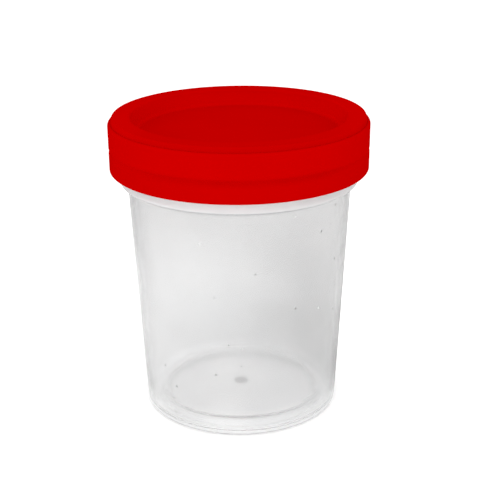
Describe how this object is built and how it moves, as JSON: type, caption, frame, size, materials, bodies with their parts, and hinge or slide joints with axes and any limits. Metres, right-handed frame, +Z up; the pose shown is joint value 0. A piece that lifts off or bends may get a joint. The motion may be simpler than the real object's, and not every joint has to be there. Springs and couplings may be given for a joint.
{
  "type": "specimen container",
  "caption": "Tapered translucent specimen cup with a red screw cap; the cap has a sunken top that plugs the mouth and a ring gasket, and unscrews off a threaded neck.",
  "frame": {"origin": "on the surface the container stands on, under the centre of the cup's foot", "axes": "+Z up along the axis of the cup and the screw cap; X and Y are level, and the neck's thread starts on +X"},
  "size_m": [0.0622, 0.0622, 0.073],
  "materials": {
    "cup_plastic": "natural translucent polypropylene, satin outside and polished inside",
    "cap_plastic": "opaque red moulded plastic, smooth, low gloss",
    "gasket_foam": "soft off-white foam sheet, matt"
  },
  "bodies": {
    "cup": {"cup": "cup_plastic"},
    "seal_ring": {"seal_ring": "gasket_foam"},
    "screw_cap": {"screw_cap": "cap_plastic"}
  },
  "joints": [
    {"name": "cap_lift", "type": "slide", "parent": "cup", "child": "seal_ring", "axis": [0, 0, 1], "range_m": [0, 0.0127]},
    {"name": "cap_turn", "type": "hinge", "parent": "seal_ring", "child": "screw_cap", "pos_m": [0, 0, 0.0665], "axis": [0, 0, 1], "range_deg": [0, 900]}
  ],
  "couplings": [
    {"joint": "cap_lift", "follows": "cap_turn", "m_per_rad": 0.00080851}
  ]
}
